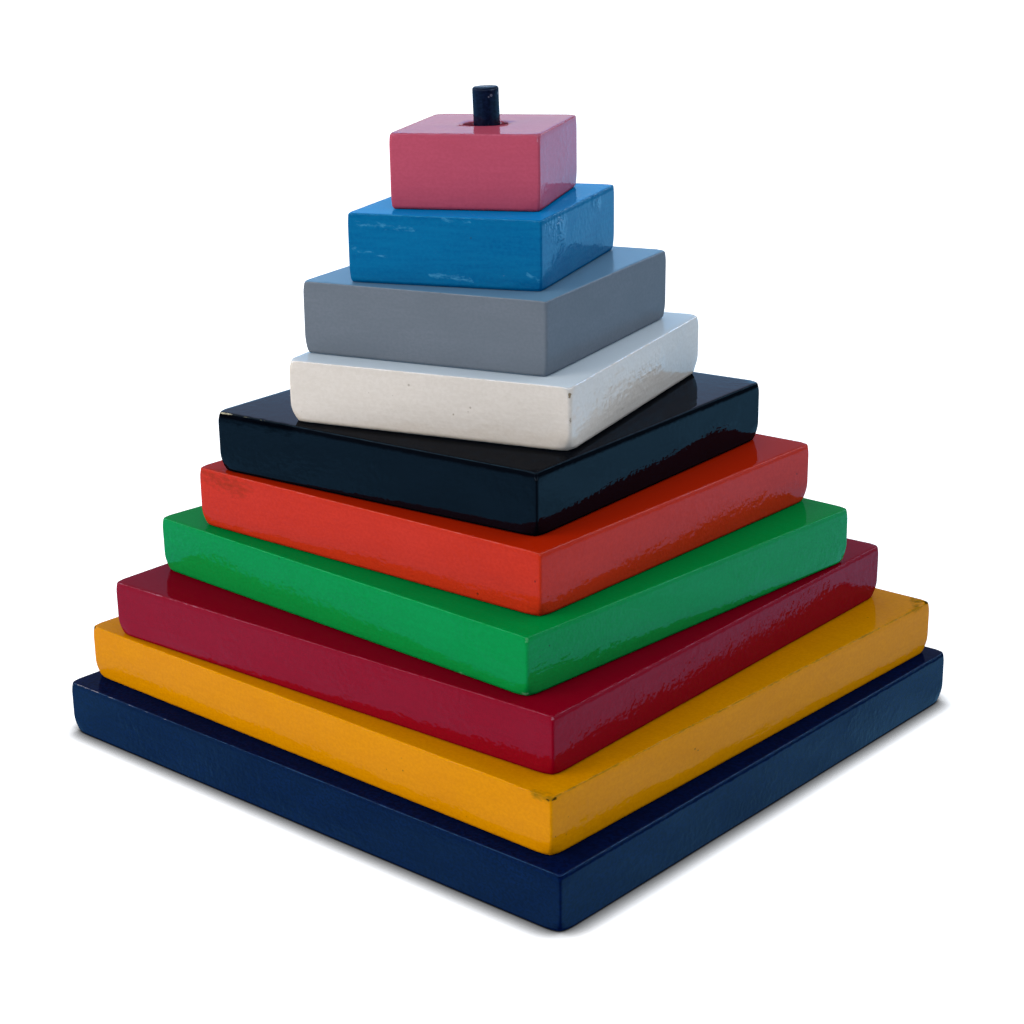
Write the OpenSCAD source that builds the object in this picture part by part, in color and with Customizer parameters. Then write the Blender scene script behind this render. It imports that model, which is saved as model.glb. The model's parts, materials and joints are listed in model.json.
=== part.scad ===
// Stacking pyramid: nine loose painted boards, each smaller than the one below,
// dropped over a round peg that is glued into a square base board.
// Millimetres. The base board's underside is at Z = 0, its sides run along X and Y,
// and every board is drawn as it lies in the stack: turned and shifted a little on the peg.

/* [Peg] */
// Diameter of the dowel
peg_d = 8; // [6:0.5:12]
// How far the dowel stands out above the top block
peg_show = 11.2; // [4:0.2:30]
// Free space all round the dowel in a loose board's hole
peg_play = 2.7; // [1.5:0.1:4]
// Lean of the dowel towards +X, in degrees
peg_lean_x = -1.5; // [-3:0.1:3]
// Lean of the dowel towards +Y, in degrees
peg_lean_y = -0.7; // [-3:0.1:3]
// Where the dowel's axis crosses the underside, from the base board's centre, along X
peg_foot_x = -0.1; // [-5:0.1:5]
// Where the dowel's axis crosses the underside, from the base board's centre, along Y
peg_foot_y = 0.8; // [-5:0.1:5]
// Wood left under the blind hole that holds the dowel
peg_floor = 5; // [2:0.5:10]
// Glue line round the dowel in that hole
peg_glue = 0.1; // [0.05:0.05:0.3]
// Rounding of the dowel's top rim
peg_tip_round = 0.9; // [0.3:0.1:2]
// Bevel round the dowel's foot
peg_foot_bevel = 0.6; // [0.3:0.1:1.5]

/* [Sanded edges] */
// Rounding along the top edges of every board
top_round = 1.1; // [0.4:0.1:1.5]
// Rounding along the bottom edges, which were sanded more
bottom_round = 1.4; // [0.4:0.1:1.5]
// Rounding of the four upright corners
corner_round = 1.7; // [1.6:0.1:6]
// Bevel at both ends of every hole
hole_bevel = 0.5; // [0.2:0.1:1]
// Air left between two boards by their paint, which is never quite flat
board_gap = 0.02; // [0.01:0.01:0.5]

/* [Base board] */
// Length along X
base_l = 205.5; // [201:0.5:260]
// Width along Y
base_w = 200.5; // [199.5:0.5:260]
// Thickness
base_t = 17.4; // [14:0.1:30]

/* [Yellow board] */
// Length
yellow_l = 195.5; // [184:0.5:198]
// Width
yellow_w = 191.5; // [180:0.5:192]
// Thickness
yellow_t = 17.5; // [12:0.1:30]
// Turn about the peg, in degrees
yellow_turn = -0.9; // [-2:0.1:2]
// Rest place along X, as a share of the play
yellow_rest_x = -0.07; // [-0.4:0.01:0.4]
// Rest place along Y, as a share of the play
yellow_rest_y = 0.74; // [-0.8:0.01:0.8]

/* [Crimson board] */
// Length
crimson_l = 175.5; // [164:0.5:188]
// Width
crimson_w = 175.5; // [164:0.5:186]
// Thickness
crimson_t = 17.7; // [12:0.1:30]
// Turn about the peg, in degrees
crimson_turn = 1.9; // [-90:0.1:90]
// Rest place along X, as a share of the play
crimson_rest_x = -0.49; // [-0.8:0.01:0.8]
// Rest place along Y, as a share of the play
crimson_rest_y = -0.19; // [-0.65:0.01:0.65]

/* [Green board] */
// Length
green_l = 159.5; // [144:0.5:172]
// Width
green_w = 150.5; // [140:0.5:168]
// Thickness
green_t = 17.7; // [12:0.1:30]
// Turn about the peg, in degrees
green_turn = -2.6; // [-90:0.1:90]
// Rest place along X, as a share of the play
green_rest_x = 0.35; // [-0.5:0.01:0.5]
// Rest place along Y, as a share of the play
green_rest_y = -0.65; // [-0.78:0.01:0.78]

/* [Orange board] */
// Length
orange_l = 137.5; // [125:0.5:154]
// Width
orange_w = 137; // [125:0.5:147]
// Thickness
orange_t = 18.8; // [12:0.1:30]
// Turn about the peg, in degrees
orange_turn = 0.9; // [-90:0.1:90]
// Rest place along X, as a share of the play
orange_rest_x = 0.74; // [-0.8:0.01:0.8]
// Rest place along Y, as a share of the play
orange_rest_y = -0.02; // [-0.3:0.01:0.3]

/* [Black board] */
// Length
black_l = 121; // [108:0.5:132]
// Width
black_w = 123; // [110:0.5:132]
// Thickness
black_t = 18.9; // [12:0.1:30]
// Turn about the peg, in degrees
black_turn = 4.4; // [-90:0.1:90]
// Rest place along X, as a share of the play
black_rest_x = -0.45; // [-0.6:0.01:0.6]
// Rest place along Y, as a share of the play
black_rest_y = -0.59; // [-0.7:0.01:0.7]

/* [White board] */
// Length
white_l = 92; // [84:0.5:112]
// Width
white_w = 105; // [91:0.5:114]
// Thickness
white_t = 18.9; // [12:0.1:30]
// Turn about the peg, in degrees
white_turn = 15.5; // [-90:0.1:90]
// Rest place along X, as a share of the play
white_rest_x = 0.52; // [-0.75:0.01:0.75]
// Rest place along Y, as a share of the play
white_rest_y = 0.27; // [-0.6:0.01:0.6]

/* [Grey board] */
// Length
grey_l = 81; // [70:0.5:90]
// Width
grey_w = 88.5; // [74:0.5:98]
// Thickness
grey_t = 21.9; // [12:0.1:30]
// Turn about the peg, in degrees
grey_turn = 14; // [-90:0.1:90]
// Rest place along X, as a share of the play
grey_rest_x = -0.73; // [-0.8:0.01:0.8]
// Rest place along Y, as a share of the play
grey_rest_y = 0.13; // [-0.4:0.01:0.4]

/* [Blue board] */
// Length
blue_l = 60.5; // [54:0.5:72]
// Width
blue_w = 73; // [58:0.5:80]
// Thickness
blue_t = 20.5; // [12:0.1:30]
// Turn about the peg, in degrees
blue_turn = 21.2; // [-90:0.1:90]
// Rest place along X, as a share of the play
blue_rest_x = -0.73; // [-0.8:0.01:0.8]
// Rest place along Y, as a share of the play
blue_rest_y = -0.11; // [-0.4:0.01:0.4]

/* [Pink block] */
// Length
pink_l = 45.5; // [38:0.5:56]
// Width
pink_w = 53; // [40:0.5:62]
// Thickness
pink_t = 22.1; // [12:0.1:30]
// Turn about the peg, in degrees
pink_turn = 27; // [-90:0.1:90]
// Rest place along X, as a share of the play
pink_rest_x = -0.65; // [-0.7:0.01:0.7]
// Rest place along Y, as a share of the play
pink_rest_y = 0.36; // [-0.55:0.01:0.55]

/* [Hidden] */
$fn = 64;

// Underside height of each piece: every board lies on the one below
yellow_z = base_t + board_gap;
crimson_z = yellow_z + yellow_t + board_gap;
green_z = crimson_z + crimson_t + board_gap;
orange_z = green_z + green_t + board_gap;
black_z = orange_z + orange_t + board_gap;
white_z = black_z + black_t + board_gap;
grey_z = white_z + white_t + board_gap;
blue_z = grey_z + grey_t + board_gap;
pink_z = blue_z + blue_t + board_gap;
stack_h = pink_z + pink_t;

hole_d = peg_d + 2 * peg_play;
// How much longer a length along the leaning dowel is than its height
slant = sqrt(1 + pow(tan(peg_lean_x), 2) + pow(tan(peg_lean_y) / cos(peg_lean_x), 2));
peg_l = (stack_h + peg_show - peg_floor) * slant;
// Cutters run this far past the faces that they open
past = 1;

// Place of the dowel's axis at height z
function peg_at(z) = [
    peg_foot_x + z * tan(peg_lean_x),
    peg_foot_y + z * tan(peg_lean_y) / cos(peg_lean_x)
];

// Puts its children on the dowel's axis, with Z = 0 on the floor of the blind hole
module on_peg_axis() {
    at = peg_at(peg_floor);
    translate([at.x, at.y, peg_floor])
        rotate([-peg_lean_y, peg_lean_x, 0])
            children();
}

// What sandpaper takes off a square edge to leave a round of radius r
module edge_waste(r) {
    difference() {
        square(r + past);
        circle(r);
    }
}

// Rim of a board seen end on, from the corner's centre out to its side face
module rim_profile(t) {
    difference() {
        square([corner_round, t]);
        translate([corner_round - top_round, t - top_round])
            edge_waste(top_round);
        translate([corner_round - bottom_round, bottom_round])
            mirror([0, 1])
                edge_waste(bottom_round);
    }
}

// Straight rim along X, its inner face on the XZ plane
module straight_rim(length, t) {
    translate([-length / 2, 0, 0])
        rotate([90, 0, 90])
            linear_extrude(length)
                rim_profile(t);
}

// Board with sanded edges, centred on Z, before its hole is drilled
module sanded_board(l, w, t) {
    core_l = l - 2 * corner_round;
    core_w = w - 2 * corner_round;
    translate([-core_l / 2, -core_w / 2, 0])
        cube([core_l, core_w, t]);
    for (side = [0, 180]) {
        rotate(side)
            translate([0, core_w / 2, 0])
                straight_rim(core_l, t);
        rotate(side + 90)
            translate([0, core_l / 2, 0])
                straight_rim(core_w, t);
    }
    for (x = [0, 1], y = [0, 1])
        mirror([x, 0, 0])
            mirror([0, y, 0])
                translate([core_l / 2, core_w / 2, 0])
                    rotate_extrude(angle = 90)
                        rim_profile(t);
}

// Drilled hole through a board of thickness t, with both rims bevelled
module drilled_hole(t) {
    r = hole_d / 2;
    rotate_extrude()
        polygon([
            [0, -past],
            [r + hole_bevel + past, -past],
            [r, hole_bevel],
            [r, t - hole_bevel],
            [r + hole_bevel + past, t + past],
            [0, t + past]
        ]);
}

// Loose board lying at height z, pushed from the dowel's axis by its share of the play
module loose_board(l, w, t, z, turn, rest) {
    at = peg_at(z + t / 2) + peg_play * rest;
    translate([at.x, at.y, z])
        rotate(turn)
            difference() {
                sanded_board(l, w, t);
                drilled_hole(t);
            }
}

module base_board() {
    color("#0d2048")
        difference() {
            sanded_board(base_l, base_w, base_t);
            on_peg_axis()
                cylinder(d = peg_d + 2 * peg_glue, h = base_t + past);
        }
}

module peg() {
    r = peg_d / 2;
    color("#0a0e28")
        on_peg_axis()
            rotate_extrude()
                difference() {
                    polygon([
                        [0, 0],
                        [r - peg_foot_bevel, 0],
                        [r, peg_foot_bevel],
                        [r, peg_l],
                        [0, peg_l]
                    ]);
                    translate([r - peg_tip_round, peg_l - peg_tip_round])
                        edge_waste(peg_tip_round);
                }
}

module yellow_board() {
    color("#d89400")
        loose_board(yellow_l, yellow_w, yellow_t, yellow_z, yellow_turn, [yellow_rest_x, yellow_rest_y]);
}

module crimson_board() {
    color("#8c1432")
        loose_board(crimson_l, crimson_w, crimson_t, crimson_z, crimson_turn,
                    [crimson_rest_x, crimson_rest_y]);
}

module green_board() {
    color("#00914b")
        loose_board(green_l, green_w, green_t, green_z, green_turn, [green_rest_x, green_rest_y]);
}

module orange_board() {
    color("#c33223")
        loose_board(orange_l, orange_w, orange_t, orange_z, orange_turn, [orange_rest_x, orange_rest_y]);
}

module black_board() {
    color("#0f1c2a")
        loose_board(black_l, black_w, black_t, black_z, black_turn, [black_rest_x, black_rest_y]);
}

module white_board() {
    color("#d0c8be")
        loose_board(white_l, white_w, white_t, white_z, white_turn, [white_rest_x, white_rest_y]);
}

module grey_board() {
    color("#697380")
        loose_board(grey_l, grey_w, grey_t, grey_z, grey_turn, [grey_rest_x, grey_rest_y]);
}

module blue_board() {
    color("#005f96")
        loose_board(blue_l, blue_w, blue_t, blue_z, blue_turn, [blue_rest_x, blue_rest_y]);
}

module pink_block() {
    color("#a84860")
        loose_board(pink_l, pink_w, pink_t, pink_z, pink_turn, [pink_rest_x, pink_rest_y]);
}

base_board();
peg();
yellow_board();
crimson_board();
green_board();
orange_board();
black_board();
white_board();
grey_board();
blue_board();
pink_block();
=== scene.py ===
# %% [markdown]
# Stacking pyramid toy: nine loose boards of shrinking size on a round peg that is glued into a base board.
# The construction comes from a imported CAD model, which is loaded first and stays as it is. It gives the
# place, size and turn of every board, so nothing here has to be fitted by eye. This script gives the toy
# its looks: boards that a hand has sawn, sanded and brushed with gloss enamel, and the light that shows it.
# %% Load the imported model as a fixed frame
import json
import math
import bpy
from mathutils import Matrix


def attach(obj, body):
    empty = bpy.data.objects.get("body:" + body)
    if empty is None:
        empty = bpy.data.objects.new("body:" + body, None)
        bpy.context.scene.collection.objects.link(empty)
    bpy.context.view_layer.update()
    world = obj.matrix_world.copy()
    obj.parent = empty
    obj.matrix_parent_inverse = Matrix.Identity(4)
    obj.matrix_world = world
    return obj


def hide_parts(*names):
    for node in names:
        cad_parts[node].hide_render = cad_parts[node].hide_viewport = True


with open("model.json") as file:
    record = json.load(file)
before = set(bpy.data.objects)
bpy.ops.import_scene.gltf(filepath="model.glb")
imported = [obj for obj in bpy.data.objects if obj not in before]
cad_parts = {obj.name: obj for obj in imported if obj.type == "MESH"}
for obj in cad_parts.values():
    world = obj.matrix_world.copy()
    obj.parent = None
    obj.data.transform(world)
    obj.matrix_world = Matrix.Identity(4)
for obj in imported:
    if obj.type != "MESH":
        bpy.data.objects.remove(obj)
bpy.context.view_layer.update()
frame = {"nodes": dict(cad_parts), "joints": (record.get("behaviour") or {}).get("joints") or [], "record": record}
from types import SimpleNamespace
import bmesh
import bpy
from mathutils import Matrix, Vector, noise

# %% [markdown]
# The camera stands where the photographer stood. Its place was found by fitting a pinhole camera to the
# corners of the ten boards in the photograph, in the frame's own metres. The lens axis didn't meet the
# picture in its middle, because the picture was cropped afterwards, so the lens is shifted a little.
# %% Camera at the photograph's angle
PICTURE_PX = 1024
SENSOR_MM = 36
FOCAL_PX = 1936.0
AXIS_PX = (452, 540)
CAMERA_AZIMUTH = math.radians(40.86)
CAMERA_REACH = 0.5876
CAMERA_HEIGHT = 0.2571
CAMERA_YAW = math.radians(-1.77)
CAMERA_PITCH = math.radians(18.44)
CAMERA_ROLL = math.radians(-1.33)


def place_camera():
    """Adds the camera, turned about the toy's upright axis first and tilted down last."""
    camera = bpy.data.objects.new("photo_camera", bpy.data.cameras.new("photo_camera"))
    bpy.context.scene.collection.objects.link(camera)
    lens = camera.data
    lens.sensor_width = SENSOR_MM
    lens.lens = FOCAL_PX / PICTURE_PX * SENSOR_MM
    lens.shift_x = 0.5 - AXIS_PX[0] / PICTURE_PX
    lens.shift_y = AXIS_PX[1] / PICTURE_PX - 0.5
    lens.clip_start = 0.01
    round_toy = Matrix.Rotation(CAMERA_AZIMUTH, 4, "Z")
    stand = Matrix.Translation((0, -CAMERA_REACH, CAMERA_HEIGHT))
    head = Matrix.Rotation(-CAMERA_YAW, 4, "Z") @ Matrix.Rotation(math.pi / 2 - CAMERA_PITCH, 4, "X")
    camera.matrix_world = round_toy @ stand @ head @ Matrix.Rotation(CAMERA_ROLL, 4, "Z")
    bpy.context.scene.camera = camera
    return camera


camera = place_camera()
print(f"Camera: lens {camera.data.lens:.1f} mm, shift {camera.data.shift_x:.3f}, {camera.data.shift_y:.3f}")

# %% [markdown]
# Colours are written as sRGB hex values, as a paint card would give them, and shaders need linear light.
# One function turns one into the other. Nodes are added by one small function too: it makes a node, sets
# its options, and fills each input with a value or links it to an output. Where an input is given a whole
# node, it is linked to that node's first output in use, which keeps long chains of nodes easy to read.
# %% Helpers for colours and nodes
def linear(hex_value):
    """The linear colour, with alpha 1, of an sRGB hex value such as #d89400."""
    channels = [int(hex_value[i:i + 2], 16) / 255 for i in (1, 3, 5)]
    return [c / 12.92 if c <= 0.04045 else ((c + 0.055) / 1.055) ** 2.4 for c in channels] + [1]


def add(tree, kind, inputs=None, **options):
    """Adds a node of that kind, with its options set and its inputs filled or linked."""
    node = tree.nodes.new("ShaderNode" + kind)
    for option, value in options.items():
        setattr(node, option, value)
    for name, value in (inputs or {}).items():
        if isinstance(value, bpy.types.Node):
            value = next(output for output in value.outputs if output.enabled)
        if isinstance(value, bpy.types.NodeSocket):
            tree.links.new(value, node.inputs[name])
        else:
            node.inputs[name].default_value = value
    return node


def set_stops(node, stops):
    """Gives a colour ramp its stops, each a position from 0 to 1 and a linear colour, and hands it back."""
    first, last = node.color_ramp.elements
    first.position, first.color = stops[0]
    last.position, last.color = stops[-1]
    for position, colour in stops[1:-1]:
        node.color_ramp.elements.new(position).color = colour
    return node


def new_material(name):
    """A material with an empty node tree."""
    material = bpy.data.materials.new(name)
    material.use_nodes = True
    material.node_tree.nodes.clear()
    return material


print("The base board's navy in linear light:", [round(c, 3) for c in linear("#021644")])

# %% [markdown]
# Gloss enamel is a mirror with a colour under it, so what stands round the toy is half of its look. The
# real toy stood outdoors in soft light. The world is that sky, as plain gradients over the height. One
# gradient lights the toy, and is white towards the back right. A second one is what the enamel mirrors: a
# dark hedge, a strip of pale haze over it, a clear light blue above that, and a duller grey-blue high up.
# The tops are rubbed dull by the boards that lie on them and mirror only a small share, so the sky in the
# mirrors is made that much brighter. The floor, which the sides mirror, is made brighter by their own
# share. The camera itself sees white.
# %% Sky that the enamel mirrors
SKY_LIGHT = ((0.0, "#c4cdd8"), (0.10, "#c4cdd8"), (0.22, "#5f7590"), (0.42, "#5f7590"), (0.75, "#dbe4ee"))
SKY_MIRRORED = ((0.06, "#20262c"), (0.085, "#b4c6dc"), (0.112, "#b4c6dc"), (0.135, "#74aede"),
                (0.19, "#74aede"), (0.25, "#707d99"), (0.45, "#62687e"), (0.62, "#7f90a6"), (1.0, "#7f90a6"))
SKY_BACK_RIGHT = "#ffffff"
BRIGHT_SIDE = (0.655, 0.756, 0.35)
BRIGHT_FROM = 0.75
SIDE_COAT = 0.4
TOP_COAT = 0.06
SKY_GAIN = 0.92 / TOP_COAT
FLOOR_GAIN = 1 / SIDE_COAT


def mirror_rays(tree):
    """1 for rays that come from the enamel's mirror, 0 for all others, also those that light matt paint."""
    rays = add(tree, "LightPath")
    direct = add(tree, "Math", {0: rays.outputs["Diffuse Depth"], 1: 0.5}, operation="LESS_THAN")
    return add(tree, "Math", {0: rays.outputs["Is Glossy Ray"], 1: direct}, operation="MULTIPLY")


def build_sky():
    """Sets the world: white for the camera, one soft sky as light, and another one for the mirrors."""
    world = bpy.data.worlds.new("studio_sky")
    bpy.context.scene.world = world
    world.use_nodes = True
    tree = world.node_tree
    tree.nodes.clear()
    way = add(tree, "TexCoord").outputs["Generated"]
    height = add(tree, "SeparateXYZ", {0: way}).outputs["Z"]
    light, mirrored = [set_stops(add(tree, "ValToRGB", {"Fac": height}),
                                 [(position, linear(colour)) for position, colour in stops])
                       for stops in (SKY_LIGHT, SKY_MIRRORED)]
    towards = add(tree, "VectorMath", {0: way, 1: Vector(BRIGHT_SIDE).normalized()}, operation="DOT_PRODUCT")
    glow = add(tree, "MapRange", {"Value": towards, "From Min": BRIGHT_FROM})
    sky = add(tree, "Mix", {"Factor": glow, "A": light, "B": linear(SKY_BACK_RIGHT)}, data_type="RGBA")
    soft = add(tree, "Background", {"Color": sky, "Strength": 1.0})
    gloss = add(tree, "Background", {"Color": mirrored, "Strength": SKY_GAIN})
    white = add(tree, "Background", {"Color": linear("#ffffff"), "Strength": 1.0})
    unseen = add(tree, "MixShader", {0: mirror_rays(tree), 1: soft, 2: gloss})
    seen = add(tree, "LightPath").outputs["Is Camera Ray"]
    either = add(tree, "MixShader", {0: seen, 1: unseen, 2: white})
    add(tree, "OutputWorld", {"Surface": either})


build_sky()
print("World:", len(SKY_LIGHT), "stops of light and", len(SKY_MIRRORED), "stops of mirrored sky")

# %% [markdown]
# The floor is plain and pale. For the camera it is white paper that glows a little, so that it stays white
# at the toy's own light level, and only the soft shadow close round the base board stays. In the enamel it
# shows as what it was outdoors: a blue-grey surface, paler towards the back, where it mirrors the open sky,
# and a little blotchy.
# %% Floor that keeps the toy's shadow
FLOOR_SIZE = 14
FLOOR_PAPER = "#ffffff"
FLOOR_NEAR = "#4f87b1"
FLOOR_FAR = "#5f98c0"
FLOOR_TURNS = (-0.05, 0.08)
AWAY = (-0.655, 0.756, 0)
FLOOR_PALES = (-0.25, 0.1)
FLOOR_LEVELS = (0.8, 1.35)
BLOTCH = 0.045
BLOTCH_LEVELS = (0.8, 1.2)
SHADOW_REACH = 0.009
SHADOW_DEPTH = 3.5
SHADOW_GAIN = 1.4
PAPER_GLOW = 0.78


def floor_in_mirrors(tree):
    """The ground outdoors: paler to the back right, brighter away from the camera, and blotchy."""
    place = add(tree, "TexCoord").outputs["Object"]
    back_right = Vector((BRIGHT_SIDE[0], BRIGHT_SIDE[1], 0)).normalized()
    along = add(tree, "VectorMath", {0: place, 1: back_right}, operation="DOT_PRODUCT")
    share = add(tree, "MapRange", {"Value": along, "From Min": FLOOR_TURNS[0], "From Max": FLOOR_TURNS[1]})
    colour = add(tree, "Mix", {"Factor": share, "A": linear(FLOOR_NEAR), "B": linear(FLOOR_FAR)},
                 data_type="RGBA")
    distance = add(tree, "VectorMath", {0: place, 1: AWAY}, operation="DOT_PRODUCT")
    dark, bright = [level * FLOOR_GAIN for level in FLOOR_LEVELS]
    paler = add(tree, "MapRange", {"Value": distance, "From Min": FLOOR_PALES[0], "From Max": FLOOR_PALES[1],
                                   "To Min": dark, "To Max": bright})
    blotches = add(tree, "TexNoise", {"Vector": place, "Scale": 1 / BLOTCH, "Detail": 3.0})
    uneven = add(tree, "MapRange", {"Value": blotches, "From Min": 0.3, "From Max": 0.7,
                                    "To Min": BLOTCH_LEVELS[0], "To Max": BLOTCH_LEVELS[1]})
    strength = add(tree, "Math", {0: paler, 1: uneven}, operation="MULTIPLY")
    return add(tree, "Emission", {"Color": colour, "Strength": strength})


def paper_look(tree):
    """White paper: for the camera it glows and keeps the contact shadow, for other rays it is plain."""
    open_sky = add(tree, "AmbientOcclusion", {"Distance": SHADOW_REACH}, samples=16).outputs["AO"]
    shade = add(tree, "Math", {0: open_sky, 1: SHADOW_DEPTH}, operation="POWER")
    shade = add(tree, "Math", {0: shade, 1: SHADOW_GAIN}, operation="MULTIPLY", use_clamp=True)
    glow_strength = add(tree, "Math", {0: shade, 1: PAPER_GLOW}, operation="MULTIPLY")
    glow = add(tree, "Emission", {"Color": linear(FLOOR_PAPER), "Strength": glow_strength})
    shaded = add(tree, "AddShader", {0: add(tree, "BsdfDiffuse", {"Color": shade}), 1: glow})
    plain = add(tree, "BsdfDiffuse", {"Color": linear(FLOOR_PAPER)})
    seen = add(tree, "LightPath").outputs["Is Camera Ray"]
    return add(tree, "MixShader", {0: seen, 1: plain, 2: shaded})


def build_floor():
    """Adds the floor, which isn't part of the toy."""
    shape = bmesh.new()
    bmesh.ops.create_grid(shape, x_segments=1, y_segments=1, size=FLOOR_SIZE / 2)
    mesh = bpy.data.meshes.new("floor")
    shape.to_mesh(mesh)
    shape.free()
    floor = bpy.data.objects.new("floor", mesh)
    bpy.context.scene.collection.objects.link(floor)
    material = new_material("plain pale floor")
    tree = material.node_tree
    paper, mirrored = paper_look(tree), floor_in_mirrors(tree)
    both = add(tree, "MixShader", {0: mirror_rays(tree), 1: paper, 2: mirrored})
    add(tree, "OutputMaterial", {"Surface": both})
    mesh.materials.append(material)


build_floor()
print(f"Floor: {FLOOR_SIZE} m square, contact shadow within {SHADOW_REACH * 1000:.0f} mm")

# %% [markdown]
# One large soft lamp stands low to the left of the camera. It is what makes the left faces about twice as
# bright as the right ones. It stands low so that the tops stay in the sky's cooler light, and the enamel
# doesn't mirror it, as the photograph shows no lamp.
# %% Soft key light
KEY_PLACE = (-0.55, -1.30, 0.42)
KEY_AIM = (0, 0, 0.09)
KEY_SIZE = 1.1
KEY_POWER = 13
KEY_COLOUR = "#fff0e0"


def build_key():
    """Adds the soft lamp, aimed at the middle of the toy."""
    light = bpy.data.lights.new("soft_key", "AREA")
    light.shape = "DISK"
    light.size = KEY_SIZE
    light.energy = KEY_POWER
    light.color = linear(KEY_COLOUR)[:3]
    lamp = bpy.data.objects.new("soft_key", light)
    bpy.context.scene.collection.objects.link(lamp)
    aim = Vector(KEY_AIM) - Vector(KEY_PLACE)
    lamp.matrix_world = Matrix.Translation(KEY_PLACE) @ aim.to_track_quat("-Z", "Y").to_matrix().to_4x4()
    lamp.visible_glossy = False


build_key()
bpy.context.scene.view_settings.view_transform = "Standard"
print(f"Key light: {KEY_SIZE} m disc, {KEY_POWER} W")

# %% [markdown]
# Each board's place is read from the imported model. Its turn about the peg is the direction of its largest
# upright face, and its length and width are what the corners span once that turn is taken out. From here on
# a board is drawn in its own millimetres: X along its length, Y along its width, Z up from its underside.
# %% Measure the boards in the frame
MM = 0.001
LOOSE = ["yellow", "crimson", "green", "orange", "black", "white", "grey", "blue"]
BOARDS = ["base_board"] + [colour + "_board" for colour in LOOSE] + ["pink_block"]
record = frame["record"]
BODY = {node: body for body, nodes in record["behaviour"]["bodies"].items() for node in nodes}
LEAN = Vector(frame["joints"][0]["axis"]).normalized()
LEVEL = 0.001


def measure_board(node):
    """A board's turn, centre, length, width, thickness and hole, in millimetres and radians."""
    mesh = frame["nodes"][node].data
    upright = [face for face in mesh.polygons if abs(face.normal.z) < LEVEL]
    facing = max(upright, key=lambda face: face.area).normal
    quarter = math.pi / 2
    turn = (math.atan2(facing.y, facing.x) + quarter / 2) % quarter - quarter / 2
    turned_back = Matrix.Rotation(-turn, 3, "Z")
    corners = [turned_back @ vert.co / MM for vert in mesh.vertices]
    low = Vector(min(c[i] for c in corners) for i in range(3))
    high = Vector(max(c[i] for c in corners) for i in range(3))
    middle = (low + high) / 2
    hole = min((c - middle).xy.length for c in corners)
    centre = Matrix.Rotation(turn, 3, "Z") @ Vector((middle.x, middle.y, low.z))
    return SimpleNamespace(turn=turn, centre=centre, length=high.x - low.x, width=high.y - low.y,
                           thick=high.z - low.z, hole=hole)


def measure_peg():
    """The peg's foot on its own axis, its length and its radius, in millimetres."""
    upright = LEAN.rotation_difference(Vector((0, 0, 1))).to_matrix()
    corners = [upright @ vert.co / MM for vert in frame["nodes"]["peg"].data.vertices]
    low = Vector(min(c[i] for c in corners) for i in range(3))
    high = Vector(max(c[i] for c in corners) for i in range(3))
    middle = (low + high) / 2
    foot = upright.inverted() @ Vector((middle.x, middle.y, low.z))
    return SimpleNamespace(foot=foot, length=high.z - low.z, radius=(high.x - low.x) / 2)


boards = {node: measure_board(node) for node in BOARDS}
peg = measure_peg()
for node, b in boards.items():
    print(f"{node:14s} {b.length:6.1f} x {b.width:6.1f} x {b.thick:5.2f} mm,",
          f"turned {math.degrees(b.turn):5.1f}")
print(f"peg: length {peg.length:.1f} mm, radius {peg.radius:.2f} mm")

# %% [markdown]
# A board starts as a block. It could be a subdivided cube with a bevel modifier, but the kinds of edge have
# their own radii here: the tops were hardly sanded, and the undersides and the upright corners more. So
# each is bevelled in its own step, corners first. Before that a few cuts fence off the rims and the hole,
# and after it the fields between those cuts are divided evenly, which keeps every row of faces straight for
# the mirror.
# %% Cut, round and divide a block
TINY = 1e-4
ALIKE = 0.01
LONG_EDGE = 1.3
STRAIGHT = 0.9999
SIDE_GRID = 1
FENCE = 1.35
HOLE_CELLS = 16
ROUND_STEPS = 8


def cut_across(bm, axis, place):
    """Cuts everything with a plane that stands square to one axis."""
    point = Vector((0, 0, 0))
    point[axis] = place
    normal = Vector((0, 0, 0))
    normal[axis] = 1
    everything = bm.verts[:] + bm.edges[:] + bm.faces[:]
    bmesh.ops.bisect_plane(bm, geom=everything, dist=TINY, plane_co=point, plane_no=normal)


def round_edges(bm, edges, radius):
    """Rounds edges to a radius."""
    bmesh.ops.bevel(bm, geom=edges, offset=radius, offset_type="OFFSET", segments=ROUND_STEPS, profile=0.5,
                    affect="EDGES", material=-1)


def rim_edges(bm, height):
    """The edges between a flat face at that height and the upright faces round it."""
    bm.normal_update()
    level = [edge for edge in bm.edges if all(abs(vert.co.z - height) < TINY for vert in edge.verts)]
    return [edge for edge in level if sum(abs(face.normal.z) > 0.9 for face in edge.link_faces) == 1]


def divide(bm, axis, spacing, hole_reach):
    """Divides the edges along one axis evenly, and the field with the hole always alike."""
    fields = {}
    for edge in bm.edges:
        run = edge.verts[1].co - edge.verts[0].co
        if run.length > LONG_EDGE * spacing and abs(run[axis]) > STRAIGHT * run.length:
            fields.setdefault(round(run.length, 3), []).append(edge)
    for run, edges in fields.items():
        round_hole = axis < 2 and abs(run - 2 * hole_reach) < ALIKE
        cells = HOLE_CELLS if round_hole else max(1, round(run / spacing))
        if cells > 1:
            bmesh.ops.subdivide_edges(bm, edges=edges, cuts=cells - 1, use_grid_fill=True)


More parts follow.
